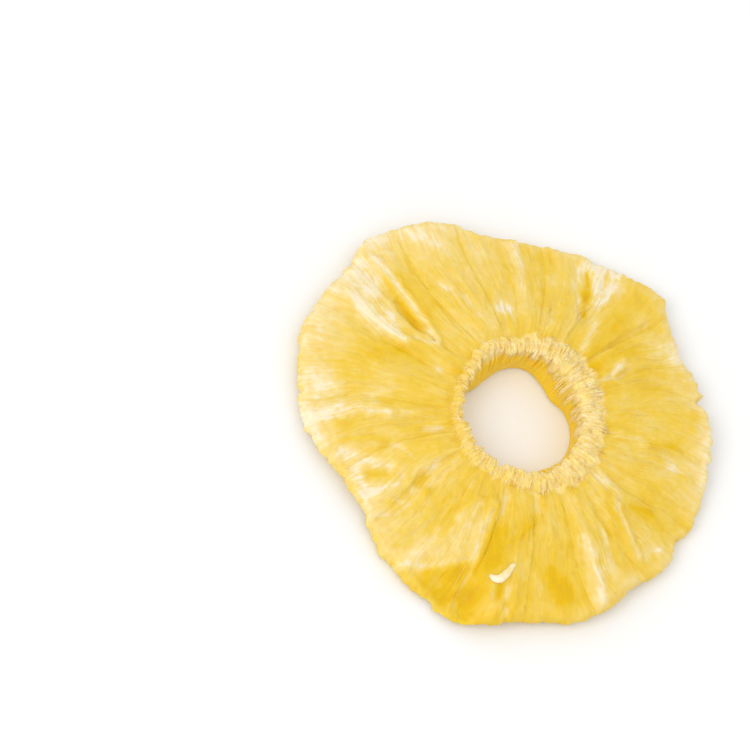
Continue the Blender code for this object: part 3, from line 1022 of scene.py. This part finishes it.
def make_strands(grid):
    """Strands combed inwards over the crest, in clumps, which hang over the wall of the core hole."""
    rng = np.random.default_rng(70)
    clump = np.repeat(np.arange(CLUMPS), CLUMP_STRANDS)
    middle = 360 / CLUMPS * (np.arange(CLUMPS) + rng.uniform(*CLUMP_SPACING, CLUMPS))
    fall, proud, back = (rng.uniform(*limits, CLUMPS) for limits in (CLUMP_FALL, CLUMP_PROUD, CLUMP_BACK))
    angle = (middle[clump] + rng.normal(0, CLUMP_WIDTH, len(clump))) % 360
    kept = rng.uniform(0, 1, len(clump)) < closed_curve(DRYNESS, angle) + STRAND_KEPT
    angle, clump, count = angle[kept], clump[kept], kept.sum()
    dryness = closed_curve(DRYNESS, angle)[:, None]
    hang = closed_curve(HANG, angle) * fall[clump] * rng.uniform(*STRAND_FALL, count)
    start = FIRST_CREST + CREST_ROWS * back[clump] * rng.uniform(*STRAND_BACK, count) ** 0.8
    wall_step = (CORE_HEIGHT - WALL_FOOT) / WALL_ROWS
    end = FIRST_CREST - hang / wall_step
    t = np.linspace(0, 1, STRAND_STEPS)
    row = start[:, None] + (end - start)[:, None] * t
    lean = rng.normal(0, CLUMP_LEAN, CLUMPS)[clump][:, None]
    lean = (lean + rng.normal(0, STRAND_LEAN, (count, 1))) * t
    sway = lean + rng.normal(0, STRAND_SWAY, (count, 1)) * np.sin(4 * t)
    column = (angle / 360 * COLUMNS)[:, None] + sway
    thick = rng.uniform(*STRAND_THICK, count)[:, None]
    arch = np.sin(np.pi * t) ** 2
    lift = thick * (0.9 * smooth_step(t, 0, 0.3) - 0.8 + rng.uniform(0.0, 1.0, (count, 1)) * arch)
    lift += proud[clump][:, None] * dryness**2 * arch
    centres, ups = on_grid(grid, row, column, lift)
    points, faces = tubes(centres, ups, thick * taper(STRAND_STEPS, STRAND_TIP), STRAND_SIDES)
    light = rng.uniform(0.1, 1.0, (count, 1)) * dryness**0.5
    shade = np.repeat((light + 0.25 * t - 0.1)[..., None], STRAND_SIDES, axis=2)
    new_piece("crest_fringe", points, faces, strand_material(), {"shade": shade})


def make_threads(grid):
    """Fine dry fibres that lie along the flesh, just proud of it."""
    rng = np.random.default_rng(71)
    angle = rng.uniform(0, 360, THREADS)[:, None]
    length = rng.uniform(*THREAD_LENGTH, THREADS)
    row_step = FLESH_WIDTH / FLESH_ROWS
    start = FIRST_FLESH + rng.uniform(0, 1, THREADS) * (FLESH_ROWS - 4 - length / row_step)
    t = np.linspace(0, 1, THREAD_STEPS)
    row = start[:, None] + (length / row_step)[:, None] * t
    radius = FLESH_FROM + (row - FIRST_FLESH) * row_step
    line = angle - (bend(angle + 0 * t, radius) - angle)
    column = line / 360 * COLUMNS + rng.normal(0, THREAD_SWAY, (THREADS, 1)) * np.sin(4 * t)
    thick = rng.uniform(*THREAD_THICK, THREADS)[:, None]
    centres, ups = on_grid(grid, row, column, 0.2 * thick + 0 * t)
    points, faces = tubes(centres, ups, thick * taper(THREAD_STEPS, THREAD_TIP), THREAD_SIDES)
    new_piece("dry_threads", points, faces, dry_material("dry_thread", GOLD, THREAD_LIGHT, 700.0))


def icosahedron():
    """The corners, each 1 from the middle, and the outward faces of a regular solid of 20 faces."""
    golden = (1 + 5**0.5) / 2
    pairs = itertools.product((-1, 1), (-golden, golden))
    corners = np.array([corner for a, b in pairs for corner in ((0, a, b), (a, b, 0), (b, 0, a))])
    corners = corners / np.linalg.norm(corners[0])
    faces = []
    for face in itertools.combinations(range(len(corners)), 3):
        first, second, third = corners[list(face)]
        sides = (second - first, third - first, third - second)
        if max(np.linalg.norm(side) for side in sides) < 1.1:
            outward = np.dot(np.cross(sides[0], sides[1]), first) > 0
            faces.append(face if outward else face[::-1])
    return corners, np.array(faces)


def make_grains(grid):
    """Small pale grains of dried juice, on the crest and over the flesh."""
    rng = np.random.default_rng(72)
    on_crest = rng.uniform(size=GRAINS) < CREST_SHARE
    row = FIRST_FLESH + FLESH_ROWS * rng.uniform(0, 1, GRAINS)
    row = np.where(on_crest, FIRST_CREST + rng.uniform(-1, CREST_ROWS, GRAINS), row)
    column = rng.uniform(0, COLUMNS, GRAINS)
    size = rng.uniform(*GRAIN_SIZE, GRAINS) * np.where(on_crest, 1, FLESH_GRAIN)
    centre, _ = on_grid(grid, row, column, GRAIN_SUNK * size)
    corners, faces = icosahedron()
    uneven = (1 + GRAIN_SWING * rng.normal(size=(GRAINS, len(corners), 1))).clip(*GRAIN_LIMITS)
    points = centre[:, None] + corners * uneven * size[:, None, None]
    faces = (faces + len(corners) * np.arange(GRAINS)[:, None, None]).reshape(-1, 3)
    new_piece("juice_grains", points, faces, dry_material("juice_grain", PALE, WHITE, 500.0))


def bezier(corners, t):
    """The cubic curve that four corners steer, at each t from 0 to 1."""
    t = t[:, None]
    a, b, c, d = corners
    return a * (1 - t) ** 3 + 3 * b * t * (1 - t) ** 2 + 3 * c * t**2 * (1 - t) + d * t**3


def make_seed(grid):
    """A white seed husk like a fat comma, which lies on the flesh."""
    t = np.linspace(0, 1, SEED_STEPS)
    flat = bezier([place(corner) for corner in SEED_PATH], t)
    angle = np.degrees(np.arctan2(flat[:, 1], flat[:, 0])) % 360
    radius = np.hypot(flat[:, 0], flat[:, 1])
    inner, outer = flesh_start(angle), lip_start(angle)
    row = FIRST_FLESH + FLESH_ROWS * (radius - inner) / (outer - inner)
    centres, ups = on_grid(grid, row[None], (angle / 360 * COLUMNS)[None], np.zeros((1, SEED_STEPS)))
    smooth = np.polyfit(t, centres[0, :, 2], 2)
    centres[0, :, 2] = np.polyval(smooth, t) + SEED_LIFT
    ups[:] = (0, 0, 1)
    width = SEED_WIDTH * (0.35 + 0.65 * np.sin(np.pi * t**0.75) ** 0.8)
    points, faces = tubes(centres, ups, width[None], SEED_SIDES)
    rise = points[..., 2] - centres[:, :, None, 2]
    points[..., 2] = centres[:, :, None, 2] + rise * SEED_THICK / SEED_WIDTH
    new_piece("seed_husk", points, faces, dry_material("seed_husk_look", PALE, HUSK, 600.0))


def make_floor():
    bpy.ops.mesh.primitive_plane_add(size=FLOOR_SIZE)
    floor = bpy.context.object
    floor.name = "floor"
    make = Shader("floor_paper")
    paper = make.noise(make.object_place(), 4.0, 2.0)
    lighter = tuple(value * 1.01 for value in FLOOR)
    make.finish(Base_Color=make.ramp(paper, ((0.3, FLOOR), (0.7, lighter))), Roughness=0.9)
    floor.data.materials.append(make.material)


def make_light():
    world = bpy.data.worlds.new("studio")
    world.use_nodes = True
    background = world.node_tree.nodes["Background"]
    background.inputs["Color"].default_value = (1, 1, 1, 1)
    background.inputs["Strength"].default_value = WORLD_LIGHT
    bpy.context.scene.world = world
    lamp = bpy.data.lights.new("key", "AREA")
    lamp.size = KEY_SIZE
    lamp.energy = KEY_POWER
    key = bpy.data.objects.new("key", lamp)
    key.location = Vector(KEY_FROM).normalized() * KEY_DISTANCE
    key.rotation_mode = "QUATERNION"
    key.rotation_quaternion = key.location.to_track_quat("Z", "Y")
    bpy.context.scene.collection.objects.link(key)


def make_camera():
    azimuth, elevation, roll = np.radians((CAMERA_AZIMUTH, CAMERA_ELEVATION, CAMERA_ROLL))
    flat = Vector((np.cos(azimuth), np.sin(azimuth), 0)) * np.cos(elevation)
    back = flat + Vector((0, 0, np.sin(elevation)))
    side = Vector((-np.sin(azimuth), np.cos(azimuth), 0))
    rise = back.cross(side)
    right = side * np.cos(roll) + rise * np.sin(roll)
    up = rise * np.cos(roll) - side * np.sin(roll)
    aim = Vector((*core_middle(), AIM_HEIGHT)) + right * AIM_RIGHT + up * AIM_UP
    turned = Matrix((right, up, back)).transposed().to_4x4()
    camera = bpy.data.objects.new("camera", bpy.data.cameras.new("camera"))
    camera.matrix_world = Matrix.Translation((aim + back * CAMERA_DISTANCE) * MM) @ turned
    camera.data.sensor_width = SENSOR
    camera.data.lens = SENSOR * CAMERA_DISTANCE / FIELD_WIDTH
    bpy.context.scene.collection.objects.link(camera)
    bpy.context.scene.camera = camera


def main():
    make_camera()
    make_light()
    make_floor()
    grid = make_grid()
    make_ring(grid)
    make_strands(grid)
    make_threads(grid)
    make_grains(grid)
    make_seed(grid)
    bpy.context.scene.view_settings.view_transform = "Standard"
    bpy.context.view_layer.update()


main()
